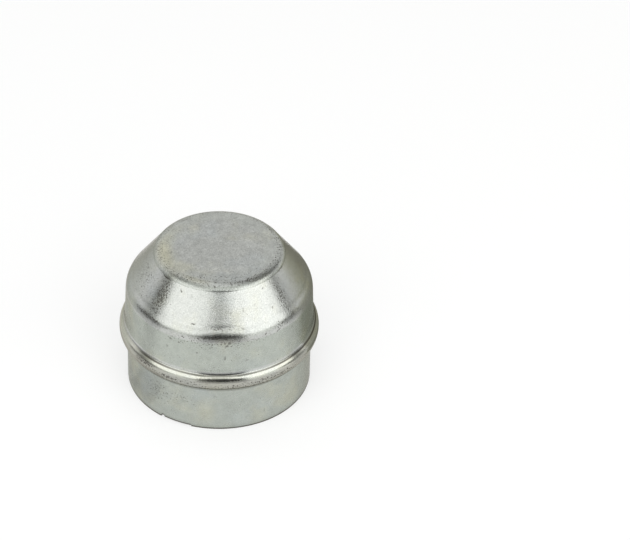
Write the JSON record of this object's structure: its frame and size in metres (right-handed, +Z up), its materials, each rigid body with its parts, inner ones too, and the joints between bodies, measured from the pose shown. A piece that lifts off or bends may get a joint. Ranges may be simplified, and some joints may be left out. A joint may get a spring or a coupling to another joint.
{
  "type": "hub grease cap",
  "caption": "Domed cup of pressed, zinc-plated sheet steel with a conical shoulder and a stop bead; presses into a wheel hub to close its bearing and hold the grease.",
  "frame": {"origin": "centre of the open mouth, in the plane of the rim that the cap stands on", "axes": "+Z up the cap's axis from the mouth to the closed nose; -Y is the front, from which the nick in the rim lies to the left"},
  "size_m": [0.0602, 0.0602, 0.0474],
  "materials": {
    "zinc_plated_steel": "bright zinc plating on pressed steel, satin on the walls, burnished on the cone and bead, grained on the nose"
  },
  "bodies": {
    "root": {"grease_cap": "zinc_plated_steel"}
  },
  "joints": []
}
